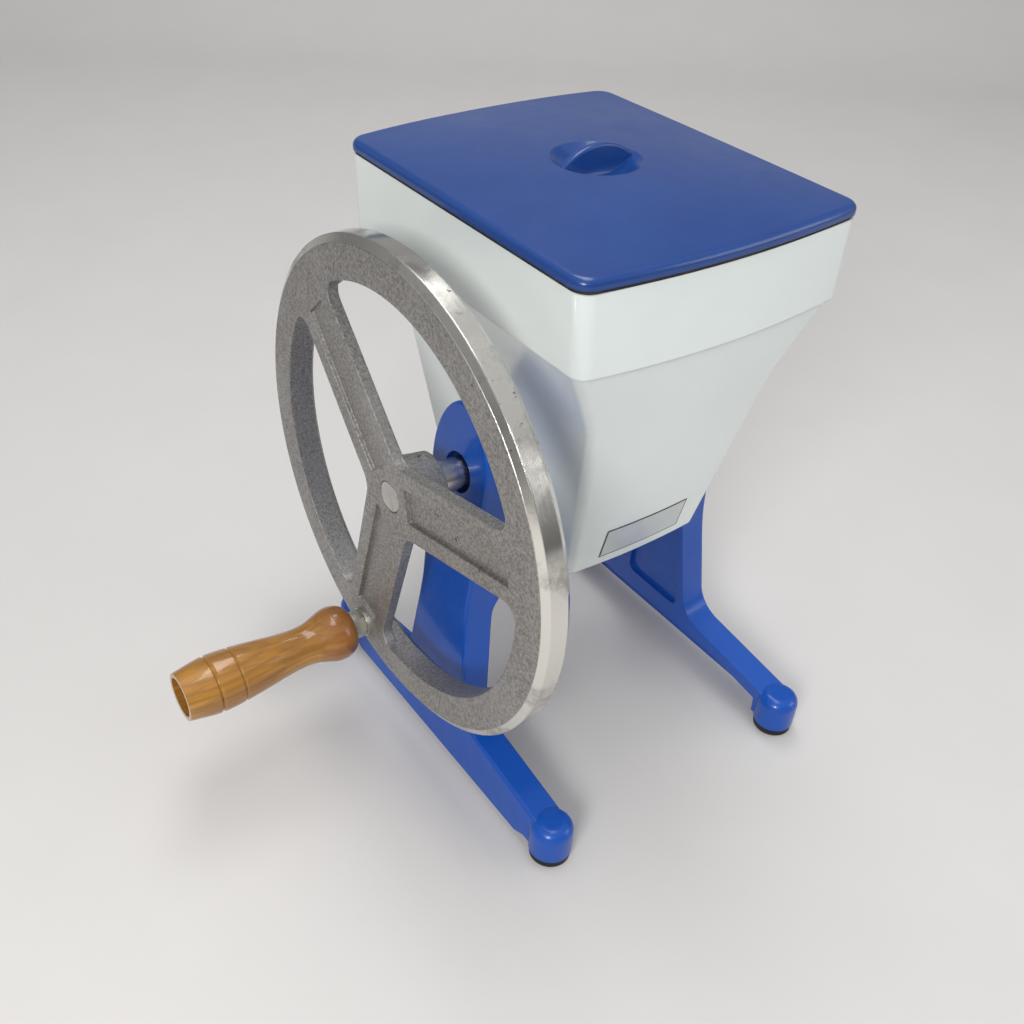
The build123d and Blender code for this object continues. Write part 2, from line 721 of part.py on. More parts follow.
with BuildPart() as shaving_drum:
    with BuildSketch(cross_plane):
        Circle(drum_hub_d / 2)
    extrude(amount=band_top_half[0], both=True)
    for sign in (-1, 1):
        split(bisect_by=side_plane(sign, seat_gap), keep=Keep.BOTTOM)
    add(drum_shoulder.part)
    with BuildSketch(cross_plane):
        Circle(drum_r)
    extrude(amount=drum_half_length, both=True)
    # the seat that carries the blade
    with BuildSketch(cross_plane):
        with BuildLine():
            Polyline(
                blade_point(seat_start, 0), blade_point(blade_length + seat_overhang, 0),
                polar(drum_r + seat_ridge[0], seat_ridge[1]),
                polar(drum_r - drum_wall / 2, seat_ends[0]),
                polar(drum_r - drum_wall / 2, seat_ends[1]), close=True,
            )
        make_face()
    extrude(amount=slot_half_length, both=True)
    with BuildSketch(cross_plane):
        Circle(drum_bore_r)
    extrude(amount=drum_inside_x, both=True, mode=Mode.SUBTRACT)
    # the mouth, open over the whole length
    with BuildSketch(Plane.XY.offset(shaft_height + drum_mouth_rise)):
        Rectangle(2 * drum_r + 2 * drum_half_length, 2 * drum_r)
    extrude(amount=drum_r, mode=Mode.SUBTRACT)
    # the slot in front of the blade
    with BuildSketch(cross_plane):
        with Locations(((slot_back - slot_front) / 2, -drum_bore_r)):
            Rectangle(slot_back + slot_front, 4 * drum_wall)
    extrude(amount=slot_half_length, both=True, mode=Mode.SUBTRACT)
    with BuildSketch(blade_plane):
        with Locations(*blade_screw_places):
            Circle(blade_screw_d / 2 + screw_gap)
    extrude(amount=-blade_screw_bite - screw_gap, mode=Mode.SUBTRACT)
    with BuildSketch(cross_plane):
        Circle(shaft_r + rotor_side_gap)
        with PolarLocations(frame_screw_circle_r, frame_screw_count, start_angle=90):
            Circle(frame_screw_d / 2 + screw_gap)
    extrude(amount=band_top_half[0], both=True, mode=Mode.SUBTRACT)
    with BuildSketch(cross_plane):
        with PolarLocations(frame_screw_circle_r, frame_screw_count, start_angle=90):
            Circle(frame_screw_head[0] / 2 + screw_gap)
    extrude(
        amount=drum_inside_x + frame_screw_head[1] + end_play, both=True, mode=Mode.SUBTRACT
    )
shaving_drum.part.label = "shaving_drum"

with BuildPart() as blade:
    with BuildSketch(cross_plane):
        with BuildLine():
            Polyline(
                blade_point(0, 0), blade_point(blade_length, 0),
                blade_point(blade_length, blade_thickness),
                blade_point(blade_bevel, blade_thickness), close=True,
            )
        make_face()
    extrude(amount=blade_half_length, both=True)
    with BuildSketch(blade_plane):
        with Locations(*blade_screw_places):
            SlotOverall(2 * blade_screw_d, blade_screw_d + 4 * screw_gap, rotation=90)
    extrude(amount=blade_thickness, mode=Mode.SUBTRACT)
blade.part.label = "blade"

with BuildPart() as blade_clamp:
    with BuildSketch(cross_plane):
        with BuildLine():
            Polyline(
                blade_point(clamp_span[0], blade_thickness),
                blade_point(clamp_span[1], blade_thickness),
                blade_point(clamp_span[1], blade_thickness + clamp_thickness),
                blade_point(clamp_span[0], blade_thickness + clamp_thickness), close=True,
            )
        make_face()
    extrude(amount=blade_half_length, both=True)
    chamfer(blade_clamp.edges().filter_by(Axis.X).sort_by(Axis.Z)[:2], 1.0)
    with BuildSketch(blade_plane):
        with Locations(*blade_screw_places):
            Circle(blade_screw_d / 2 + screw_gap)
    extrude(amount=2 * clamp_thickness + blade_thickness, mode=Mode.SUBTRACT)
blade_clamp.part.label = "blade_clamp"

with BuildPart() as blade_screws:
    under_clamp = blade_plane.offset(blade_thickness + clamp_thickness)
    with BuildSketch(under_clamp):
        with Locations(*blade_screw_places):
            Circle(blade_screw_d / 2)
    extrude(amount=-(blade_thickness + clamp_thickness + blade_screw_bite))
    with BuildSketch(under_clamp):
        with Locations(*blade_screw_places):
            RegularPolygon(blade_screw_head[0] / 2, 6, major_radius=False)
    extrude(amount=blade_screw_head[1])
blade_screws.part.label = "blade_screws"

# ---------------------------------------------------------------- rotor
rotor_hub_r = rotor_hub_d / 2

with BuildPart() as rotor:
    with BuildSketch(cross_plane.offset(-rotor_half_length)):
        Circle(rotor_hub_r)
        for vane in range(vane_count):
            turn = 360 / vane_count * (vane + 0.5)
            root_half = math.degrees(math.asin(vane_root / 2 / rotor_hub_r))
            tip_half = math.degrees(math.asin(vane_tip / 2 / rotor_r))
            middle_r = (rotor_hub_r + rotor_r) / 2
            middle_half = (root_half + tip_half) / 3
            with BuildLine():
                ThreePointArc(
                    polar(rotor_hub_r - vane_sink, turn - root_half),
                    polar(middle_r, turn - middle_half - vane_bend * vane_sweep),
                    polar(rotor_r, turn - tip_half - vane_sweep),
                )
                Line(
                    polar(rotor_r, turn - tip_half - vane_sweep),
                    polar(rotor_r, turn + tip_half - vane_sweep),
                )
                ThreePointArc(
                    polar(rotor_r, turn + tip_half - vane_sweep),
                    polar(middle_r, turn + middle_half - vane_bend * vane_sweep),
                    polar(rotor_hub_r - vane_sink, turn + root_half),
                )
                Line(
                    polar(rotor_hub_r - vane_sink, turn + root_half),
                    polar(rotor_hub_r - vane_sink, turn - root_half),
                )
            make_face()
        Circle(shaft_r + fit_gap, mode=Mode.SUBTRACT)
    extrude(amount=2 * rotor_half_length)
    with BuildSketch(Plane.XY.offset(shaft_height)):
        Circle(rotor_pin_d / 2 + fit_gap)
    extrude(amount=rotor_hub_d, both=True, mode=Mode.SUBTRACT)
rotor.part.label = "rotor"

with BuildPart() as rotor_pin:
    with BuildSketch(Plane.XY.offset(shaft_height)):
        Circle(rotor_pin_d / 2)
    extrude(amount=rotor_hub_r - end_play, both=True)
rotor_pin.part.label = "rotor_pin"

# ---------------------------------------------------------------- chute
mouth_z = shaft_height + drum_mouth_rise
mouth_half_y = math.sqrt(drum_r ** 2 - drum_mouth_rise ** 2)
mouth_bow = 1.0

with BuildPart() as hopper_chute:
    with BuildSketch(Plane.XY.offset(mouth_z)):
        bowed_outline(drum_half_length, mouth_half_y, mouth_bow, chute_corner_r)
    with BuildSketch(hopper_level(chute_top)):
        funnel_section(chute_top, hopper_wall + chute_gap)
    loft(ruled=True)
    with BuildSketch(Plane.XY.offset(mouth_z)):
        bowed_outline(
            drum_half_length - chute_wall, mouth_half_y - chute_wall, mouth_bow,
            chute_corner_r - chute_wall / 2,
        )
    with BuildSketch(hopper_level(chute_top)):
        funnel_section(chute_top, hopper_wall + chute_gap + chute_wall)
    loft(ruled=True, mode=Mode.SUBTRACT)
hopper_chute.part.label = "hopper_chute"

# ---------------------------------------------------------------- side frames
lean_turn = math.atan(frame_lean)
# in a side frame's leaning outer face: local x is +Y, local y runs up the face
frame_plane = Plane(
    origin=(frame_foot_x, 0, 0), x_dir=(0, 1, 0),
    z_dir=(math.cos(lean_turn), 0, math.sin(lean_turn)),
)


def up(height):
    """Distance up the leaning face for a height above the table."""
    return height / math.cos(lean_turn)


def leg_top(y):
    """Height of a leg's top edge at a distance in front of or behind the shaft."""
    return leg_top_root[1] - leg_slope * (abs(y) - leg_top_root[0])


def leg_end(foot_y):
    """A leg's outline at one foot: its bottom, its end, and up to its top edge."""
    inward = -math.copysign(1, foot_y)
    end_y = foot_y + inward * leg_end_inset
    over_pad = up(pad_height + frame_depth * math.sin(lean_turn))
    return [
        (foot_y + inward * (foot_r + leg_rise_run), up(leg_bottom)),
        (foot_y + inward * foot_r, over_pad),
        (end_y, over_pad),
        (end_y, up(leg_top(end_y))),
    ]


past = frame_depth        # how far cutting shapes run on past the casting
upright_side = [(half, up(height)) for half, height in upright_widths]
upright_side.append((upright_root[0], up(upright_root[1])))
channel_ends = [foot_y - math.copysign(foot_r, foot_y) for foot_y in foot_ys]

with BuildPart() as right_side_frame:
    with BuildSketch(frame_plane):
        with BuildLine():
            Spline(*upright_side, tangents=((0, -1), (0.25, -1)))
            Line(upright_side[-1], (-upright_side[-1][0], upright_side[-1][1]))
            Spline(*[(-y, height) for y, height in upright_side], tangents=((0, -1), (-0.25, -1)))
            Line((-upright_side[0][0], upright_side[0][1]), upright_side[0])
        make_face()
        with Locations((0, up(shaft_height))):
            Ellipse(upright_side[0][0], cap_rise)
        with BuildLine():
            Polyline(
                *leg_end(front_foot_y), (0, up(leg_top(0))), *reversed(leg_end(rear_foot_y)),
                close=True,
            )
        make_face()
        crotch_y = upright_root[0]
        fillet(
            vertices().filter_by(
                lambda v: crotch_y - 5 < abs(v.X) < crotch_y + 5
                and up(leg_top_root[1]) < v.Y < up(upright_widths[-1][1])
            ),
            upright_fillet_r,
        )
    extrude(amount=funnel_bottom_half[0] - frame_foot_x)
    # seen from the front: the upright keeps one depth, then thickens to meet the hopper's side
    cap_z = shaft_height + cap_rise + past
    with BuildSketch(Plane.XZ):
        with BuildLine():
            Polyline(
                (frame_outer_x(-past), -past), (frame_outer_x(cap_z), cap_z),
                (funnel_side_x(cap_z) + seat_gap, cap_z),
                (funnel_side_x(neck_end) + seat_gap, neck_end),
                (frame_outer_x(neck_start) - frame_depth, neck_start),
                (frame_outer_x(-past) - frame_depth, -past), close=True,
            )
        make_face()
        fillet(vertices().filter_by(lambda v: abs(v.Y - neck_start) < 1), 3 * pocket_corner_r)
        fillet(vertices().filter_by(lambda v: abs(v.Y - neck_end) < 1), pocket_corner_r)
    extrude(amount=foot_r - front_foot_y, both=True, mode=Mode.INTERSECT)
    outer_face = right_side_frame.faces().filter_by(frame_plane).sort_by(Axis.X)[-1]
    fillet(outer_face.edges(), frame_edge_r)
    # the sunk panel in the upright, towards the bowl
    with BuildSketch(frame_plane.offset(pocket_depth - frame_depth)):
        with BuildLine():
            inner_side = [(half - flange, up(height)) for half, height in upright_widths[3:]]
            inner_side.insert(0, (upright_widths[2][0] - flange, up(pocket_top)))
            inner_side.append((inner_side[-1][0] + pocket_flare, up(pocket_bottom)))
            Polyline(*inner_side, *[(-y, height) for y, height in reversed(inner_side)], close=True)
        make_face()
        ends = vertices().group_by(Axis.Y)
        fillet(ends[0] + ends[-1], pocket_corner_r)
    extrude(amount=-frame_foot_x, mode=Mode.SUBTRACT)
    # the channel under the legs, and the raised edge of its inner lip
    with BuildSketch(frame_plane.offset(-frame_skin)):
        with BuildLine():
            channel_top = [(end, up(leg_top(end) - frame_skin)) for end in channel_ends]
            Polyline(
                (channel_ends[0], -past), channel_top[0], (0, up(leg_top(0) - frame_skin)),
                channel_top[1], (channel_ends[1], -past), close=True,
            )
        make_face()
    extrude(amount=-(frame_depth - frame_skin - frame_lip), mode=Mode.SUBTRACT)
    with BuildSketch(frame_plane.offset(-frame_skin)):
        with BuildLine():
            Polyline(
                (channel_ends[0], -past), (channel_ends[0], up(lip_bottom[1])),
                *[(lip_level_share * end, up(lip_bottom[0])) for end in channel_ends],
                (channel_ends[1], up(lip_bottom[1])), (channel_ends[1], -past), close=True,
            )
        make_face()
    extrude(amount=-frame_depth, mode=Mode.SUBTRACT)
    # the round feet
    for foot_y in foot_ys:
        foot_plane = Plane(origin=(foot_x, foot_y, 0), x_dir=(1, 0, 0), z_dir=(0, -1, 0))
        with BuildSketch(foot_plane):
            with BuildLine():
                foot_top = leg_top(foot_y) + foot_rise
                Polyline(
                    (foot_r - foot_corner_r, foot_top), (0, foot_top), (0, pad_height),
                    (foot_r, pad_height), (foot_r, foot_top - foot_corner_r),
                )
                RadiusArc(
                    (foot_r, foot_top - foot_corner_r), (foot_r - foot_corner_r, foot_top),
                    -foot_corner_r,
                )
            make_face()
        revolve(axis=Axis((foot_x, foot_y, 0), (0, 0, 1)))
    with BuildSketch(Plane.XY.offset(pad_height)):
        with Locations(*[(foot_x, foot_y) for foot_y in foot_ys]):
            Circle(foot_screw_d / 2 + screw_gap)
    extrude(amount=foot_screw_length - pad_height + end_play, mode=Mode.SUBTRACT)
    # the bore for the bush, and the blind holes for the screws from the drum
    with BuildSketch(cross_plane):
        Circle(bore_d / 2)
    extrude(amount=frame_foot_x, mode=Mode.SUBTRACT)
    with BuildSketch(cross_plane):
        with PolarLocations(frame_screw_circle_r, frame_screw_count, start_angle=90):
            Circle(frame_screw_d / 2 + screw_gap)
    extrude(
        amount=funnel_side_x(shaft_height) + seat_gap + frame_screw_grip + end_play,
        mode=Mode.SUBTRACT,
    )
right_side_frame.part.label = "right_side_frame"

with BuildPart() as left_side_frame:
    mirror(right_side_frame.part, about=Plane.YZ)
left_side_frame.part.label = "left_side_frame"

with BuildPart() as frame_screws:
    for sign in (-1, 1):
        head_plane = cross_plane.offset(sign * (drum_inside_x + end_play))
        with BuildSketch(head_plane):
            with PolarLocations(frame_screw_circle_r, frame_screw_count, start_angle=90):
                Circle(frame_screw_head[0] / 2)
        extrude(amount=sign * frame_screw_head[1])
        with BuildSketch(head_plane):
            with PolarLocations(frame_screw_circle_r, frame_screw_count, start_angle=90):
                Circle(frame_screw_d / 2)
        extrude(
            amount=sign * (funnel_side_x(shaft_height) + frame_screw_grip - drum_inside_x - end_play)
        )
frame_screws.part.label = "frame_screws"

# ---------------------------------------------------------------- feet
pads = []
for side, sign in (("left", -1), ("right", 1)):
    for end, foot_y in (("front", front_foot_y), ("rear", rear_foot_y)):
        with BuildPart() as pad:
            with BuildSketch(Plane.XY):
                with Locations((sign * foot_x, foot_y)):
                    Circle(pad_d / 2)
            extrude(amount=pad_height)
            chamfer(pad.edges().filter_by(GeomType.CIRCLE).sort_by(Axis.Z)[0], 0.8)
            with BuildSketch(Plane.XY):
                with Locations((sign * foot_x, foot_y)):
                    Circle(foot_screw_d / 2 + screw_gap)
            extrude(amount=pad_height, mode=Mode.SUBTRACT)
            with BuildSketch(Plane.XY):
                with Locations((sign * foot_x, foot_y)):
                    Circle(foot_screw_head[0] / 2 + 5 * screw_gap)
            extrude(amount=foot_screw_head[1] + screw_gap, mode=Mode.SUBTRACT)
        pad.part.label = f"foot_pad_{end}_{side}"
        pads.append(pad)

foot_places = [(sign * foot_x, foot_y) for sign in (-1, 1) for foot_y in foot_ys]

with BuildPart() as foot_screws:
    head_low = 5 * screw_gap
    with BuildSketch(Plane.XY.offset(head_low)):
        with Locations(*foot_places):
            Circle(foot_screw_head[0] / 2)
    extrude(amount=foot_screw_head[1] + screw_gap - head_low)
    with BuildSketch(Plane.XY.offset(head_low)):
        with Locations(*foot_places):
            Circle(foot_screw_d / 2)
    extrude(amount=foot_screw_length - head_low)
foot_screws.part.label = "foot_screws"

# ---------------------------------------------------------------- files
os.makedirs("parts", exist_ok=True)
pieces = [
    lid, lid_gasket, hopper_housing, hopper_chute, shaving_drum, blade, blade_clamp, blade_screws,
    rotor, rotor_pin, main_shaft, bushes["left"], bushes["right"], thrust_washer, retaining_ring,
    flywheel, flywheel_pin, crank_stud, stud_washer, stud_nut, handle_grip,
    handle_sleeve, handle_washer, handle_nut, left_side_frame, right_side_frame, frame_screws,
    *pads, foot_screws,
]
for piece in pieces:
    export_step(piece.part, f"parts/{piece.part.label}.step")
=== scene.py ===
# %% [markdown]
# # A hand-cranked ice shaver, dressed for the camera
#
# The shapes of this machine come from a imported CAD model, so this lesson is mostly about light and
# finish: gloss paint over castings, raw cast aluminium, turned steel, varnished wood and rubber.
# The CAD pieces are loaded as a fixed frame, in metres. +X runs along the shaft away from the
# flywheel, -Y is the front and +Z is up. Nothing here moves a CAD piece.

# %% Load the fixed frame
import json
import math

import bpy
from mathutils import Euler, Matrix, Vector


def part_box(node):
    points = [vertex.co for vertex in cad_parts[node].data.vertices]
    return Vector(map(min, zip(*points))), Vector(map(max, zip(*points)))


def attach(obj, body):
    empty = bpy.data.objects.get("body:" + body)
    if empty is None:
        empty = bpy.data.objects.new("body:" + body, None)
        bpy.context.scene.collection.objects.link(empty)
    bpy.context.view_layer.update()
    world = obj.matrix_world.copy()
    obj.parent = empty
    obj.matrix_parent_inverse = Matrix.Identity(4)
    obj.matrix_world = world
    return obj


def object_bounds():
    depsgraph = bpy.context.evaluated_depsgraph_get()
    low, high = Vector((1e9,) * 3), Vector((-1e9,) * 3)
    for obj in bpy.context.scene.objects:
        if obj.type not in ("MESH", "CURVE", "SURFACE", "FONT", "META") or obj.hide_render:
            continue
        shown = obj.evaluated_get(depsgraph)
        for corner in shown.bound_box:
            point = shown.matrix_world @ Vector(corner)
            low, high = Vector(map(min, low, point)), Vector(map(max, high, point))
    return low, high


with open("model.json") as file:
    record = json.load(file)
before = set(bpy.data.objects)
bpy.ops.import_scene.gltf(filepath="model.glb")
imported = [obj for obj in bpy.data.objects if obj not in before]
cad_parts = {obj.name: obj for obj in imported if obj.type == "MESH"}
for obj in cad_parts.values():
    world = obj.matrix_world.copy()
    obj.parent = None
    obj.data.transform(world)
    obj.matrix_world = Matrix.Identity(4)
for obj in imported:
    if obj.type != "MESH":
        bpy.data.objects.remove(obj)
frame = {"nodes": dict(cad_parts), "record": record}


def corners(box):
    """The two corners of a box, as plain lists of numbers."""
    return [[float(value) for value in corner] for corner in box]


cad_box = corners(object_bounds())
scene = bpy.context.scene
scene.view_settings.view_transform = "Standard"
print("pieces in the frame:", len(frame["nodes"]))

# %% [markdown]
# ## The camera
#
# The camera comes first, because every later choice is judged through it. The photograph was taken
# from the front left, a little above the lid. Its place, its three angles and its focal length
# were worked out from the corners of the hopper and the circle of the flywheel. The lens centre
# isn't quite the picture's centre, and a small shift says so.

# %% Set up the camera
camera_data = bpy.data.cameras.new("camera")
camera = bpy.data.objects.new("camera", camera_data)
scene.collection.objects.link(camera)
camera.location = (-0.4014, -0.4522, 0.6062)
camera.rotation_euler = Euler([math.radians(a) for a in (51.220, -2.127, -34.577)], "XYZ")
camera_data.sensor_width = 36.0
camera_data.lens = 39.35
camera_data.shift_x = 0.0240
camera_data.shift_y = 0.0281
camera_data.clip_start = 0.02
scene.camera = camera
print("camera stands", round(camera.location.length, 3), "m from the origin")

# %% [markdown]
# ## A table and a wall
#
# The machine stands on a pale table in front of a grey wall. One sheet that rises in a soft curve
# behind the object serves for both and leaves no hard line.

# %% Make the sweep
stage_half = 3.0
wall_height = 3.0
sweep_start = 1.5
sweep_radius = 0.6
sweep_steps = 16
wall_turn = math.radians(35)       # the camera looks between +Y and +X, and the wall faces it


def sweep_profile():
    """Points from the front of the table, along it, round the sweep and up the wall."""
    points = [(-stage_half, 0.0), (sweep_start, 0.0)]
    for step in range(1, sweep_steps + 1):
        turn = math.radians(90) * step / sweep_steps
        points.append((
            sweep_start + sweep_radius * math.sin(turn), sweep_radius * (1 - math.cos(turn)),
        ))
    points.append((sweep_start + sweep_radius, wall_height))
    return points


def mesh_object(name, mesh):
    """A new object in the scene for a mesh, at the origin."""
    obj = bpy.data.objects.new(name, mesh)
    scene.collection.objects.link(obj)
    return obj


def shade_smooth(obj):
    """Smooth shading on every face of an object."""
    obj.data.polygons.foreach_set("use_smooth", [True] * len(obj.data.polygons))


mesh = bpy.data.meshes.new("sweep")
profile = sweep_profile()
towards_wall = Vector((math.sin(wall_turn), math.cos(wall_turn), 0))
across = Vector((towards_wall.y, -towards_wall.x, 0))
verts = [
    towards_wall * along + across * side * stage_half + Vector((0, 0, height))
    for along, height in profile for side in (-1, 1)
]
faces = [(2 * i, 2 * i + 1, 2 * i + 3, 2 * i + 2) for i in range(len(profile) - 1)]
mesh.from_pydata(verts, [], faces)
sweep = mesh_object("sweep", mesh)
shade_smooth(sweep)
print("sweep has", len(mesh.polygons), "faces")

# %% [markdown]
# ## Light
#
# The real light is an ordinary room: lamps overhead and a smaller, nearer one left of the camera,
# which gives the wheel's shadow on the hopper. Three soft lamps copy it. The long one above draws
# the pale streaks in the turned rim and along the lid's edge, because a glossy surface shows the
# shape of its lamps. Their strength is set so that a colour renders about as it is written. The
# room itself is darker near the floor than near the ceiling: bare metal shows both, and would look
# like chalk in an evenly bright room.


# %% Hang the lamps
def soft_lamp(name, place, aim, size, watts, tint=(1.0, 1.0, 1.0)):
    """A rectangular area lamp at a place, turned to look at a point."""
    data = bpy.data.lights.new(name, "AREA")
    data.shape = "RECTANGLE"
    data.size, data.size_y = size
    data.energy = watts
    data.color = tint
    lamp = bpy.data.objects.new(name, data)
    scene.collection.objects.link(lamp)
    lamp.location = place
    lamp.rotation_euler = (Vector(aim) - Vector(place)).to_track_quat("-Z", "Y").to_euler()


middle = (0.0, 0.0, 0.2)
soft_lamp("camera_lamp", (-1.45, -1.0, 1.15), middle, (0.55, 0.55), 23.0, (1.0, 0.99, 0.97))
soft_lamp("ceiling_lamp", (0.15, 0.35, 2.1), middle, (0.8, 1.8), 21.0)
soft_lamp("side_lamp", (1.5, -1.4, 0.9), middle, (1.0, 1.0), 8.0, (0.97, 0.99, 1.0))

world = bpy.data.worlds.new("room")
scene.world = world
world.use_nodes = True
room_light = 0.62
room_rise = {"From Min": -0.05, "From Max": 0.75, "To Min": 0.22, "To Max": 0.95}
background = world.node_tree.nodes["Background"]
background.inputs["Strength"].default_value = room_light
direction = world.node_tree.nodes.new("ShaderNodeTexCoord")
split = world.node_tree.nodes.new("ShaderNodeSeparateXYZ")
world.node_tree.links.new(direction.outputs["Generated"], split.inputs[0])
rise = world.node_tree.nodes.new("ShaderNodeMapRange")
for socket, number in room_rise.items():
    rise.inputs[socket].default_value = number
world.node_tree.links.new(split.outputs[2], rise.inputs["Value"])
world.node_tree.links.new(rise.outputs["Result"], background.inputs["Color"])
print("lamps:", [lamp.name for lamp in bpy.data.lights])

# %% [markdown]
# ## A small kit for finishes
#
# Every finish below is a Principled shader with a few procedural textures. They read Object
# coordinates, which are metres in the machine's own frame, so a grain has its true size on every
# piece. A constant goes straight on the shader's socket. These helpers only save typing: they make
# a node, scale the coordinates, make noise, turn a value into a range, mix colours, do arithmetic,
# find the edges that wear and stack bumps.


# %% Helpers for shader nodes
def finish(name, **values):
    """A new material with its Principled shader's sockets set, and the shader itself."""
    material = bpy.data.materials.new(name)
    material.use_nodes = True
    shader = material.node_tree.nodes["Principled BSDF"]
    for socket, value in values.items():
        shader.inputs[socket.replace("_", " ")].default_value = value
    return material, shader


def add_node(material, kind, **settings):
    """A shader node with its settings; a setting that names an input sets the input."""
    node = material.node_tree.nodes.new("ShaderNode" + kind)
    for key, value in settings.items():
        if hasattr(node, key):
            setattr(node, key, value)
        else:
            node.inputs[key.replace("_", " ")].default_value = value
    return node


def join(material, source, target):
    """A link from one node's output to another's input."""
    material.node_tree.links.new(source, target)


def place_of(material, scale=(1, 1, 1)):
    """The Object coordinates, stretched by a scale along each axis."""
    coordinates = add_node(material, "TexCoord")
    mapping = add_node(material, "Mapping", Scale=scale)
    join(material, coordinates.outputs["Object"], mapping.inputs["Vector"])
    return mapping.outputs["Vector"]


def noise(material, vector, scale, detail=3.0, roughness=0.55, distortion=0.0):
    """A noise texture's value, from 0 to 1, at the given coordinates."""
    texture = add_node(
        material, "TexNoise", Scale=scale, Detail=detail, Roughness=roughness,
        Distortion=distortion,
    )
    join(material, vector, texture.inputs["Vector"])
    return texture.outputs["Fac"]


def spread(material, value, low, high, to_low=0.0, to_high=1.0, smooth=False):
    """A value's range from low to high, carried to another range and held at its ends."""
    node = add_node(material, "MapRange")
    node.interpolation_type = "SMOOTHSTEP" if smooth else "LINEAR"
    limits = {"From Min": low, "From Max": high, "To Min": to_low, "To Max": to_high}
    for socket, number in limits.items():
        node.inputs[socket].default_value = number
    join(material, value, node.inputs["Value"])
    return node.outputs["Result"]


def blend_colour(material, share, first, second):
    """A colour between two others; each is a written colour or another node's output."""
    node = add_node(material, "Mix")
    node.data_type = "RGBA"
    join(material, share, node.inputs[0])
    for socket, colour in ((node.inputs[6], first), (node.inputs[7], second)):
        if isinstance(colour, bpy.types.NodeSocket):
            join(material, colour, socket)
        else:
            socket.default_value = (*colour, 1.0)
    return node.outputs[2]


def combine(material, operation, first, second):
    """One step of arithmetic on two values."""
    node = add_node(material, "Math")
    node.operation = operation
    for socket, value in zip(node.inputs, (first, second)):
        if isinstance(value, bpy.types.NodeSocket):
            join(material, value, socket)
        else:
            socket.default_value = value
    return node.outputs[0]


def part_of_place(material, axis):
    """One Object coordinate, in metres."""
    coordinates = add_node(material, "TexCoord")
    split = add_node(material, "SeparateXYZ")
    join(material, coordinates.outputs["Object"], split.inputs[0])
    return split.outputs[axis]


def radius_round(material, height):
    """Distance from a line along X above the origin, at a height, in metres."""
    up = combine(material, "SUBTRACT", part_of_place(material, 2), height)
    back = part_of_place(material, 1)
    square = combine(
        material, "ADD", combine(material, "MULTIPLY", up, up),
        combine(material, "MULTIPLY", back, back),
    )
    return combine(material, "SQRT", square, 0.0)


bevel_samples = 4


def worn_edges(material, radius):
    """A value from 0 on open surface towards 1 at edges sharper than a radius."""
    bevel = add_node(material, "Bevel", Radius=radius)
    bevel.samples = bevel_samples
    geometry = add_node(material, "NewGeometry")
    product = add_node(material, "VectorMath")
    product.operation = "DOT_PRODUCT"
    join(material, bevel.outputs["Normal"], product.inputs[0])
    join(material, geometry.outputs["Normal"], product.inputs[1])
    return spread(material, product.outputs["Value"], 0.98, 0.75)


def relief(material, shader, layers, edge_radius=None):
    """Chains bumps, each (height, strength, metres), over an optional rounding of sharp edges."""
    last = None
    if edge_radius:
        bevel = add_node(material, "Bevel", Radius=edge_radius)
        bevel.samples = bevel_samples
        last = bevel.outputs["Normal"]
    for height, strength, distance in layers:
        bump = add_node(material, "Bump", Strength=strength, Distance=distance)
        join(material, height, bump.inputs["Height"])
        if last:
            join(material, last, bump.inputs["Normal"])
        last = bump.outputs["Normal"]
    join(material, last, shader.inputs["Normal"])


print("helpers ready")

# %% [markdown]
# ## The table and the wall behind it
#
# The table is a plain off-white laminate and the wall a cool grey. Both are dull and clean, so one
# material turns from the one colour to the other with height. A hint of mottling keeps the large
# plain area from looking like paper.

# %% Finish the sweep
table_and_wall, shader = finish("table_and_wall", Roughness=0.55, Specular_IOR_Level=0.3)
mottle = noise(table_and_wall, place_of(table_and_wall), 9.0, detail=4.0)
table_colour = blend_colour(
    table_and_wall, mottle, (0.600, 0.585, 0.575), (0.640, 0.625, 0.615)
)
climb = spread(table_and_wall, part_of_place(table_and_wall, 2), 0.01, 0.45, smooth=True)
join(
    table_and_wall, blend_colour(table_and_wall, climb, table_colour, (0.42, 0.42, 0.425)),
    shader.inputs["Base Color"],
)
sweep.data.materials.append(table_and_wall)
print("table finished")

# %% [markdown]
# ## Gloss paint on castings
#
# The frames and the lid are sprayed a strong blue, the hopper white. Such paint isn't flat: it has
# the faint dimples that painters call orange peel, it pulls thin over sharp edges, and where the
# casting below is rough it waves. A clear coat over a rougher base gives the hard highlight with
# soft colour under it. Chips show only where they would on the real one, so a mask says where.

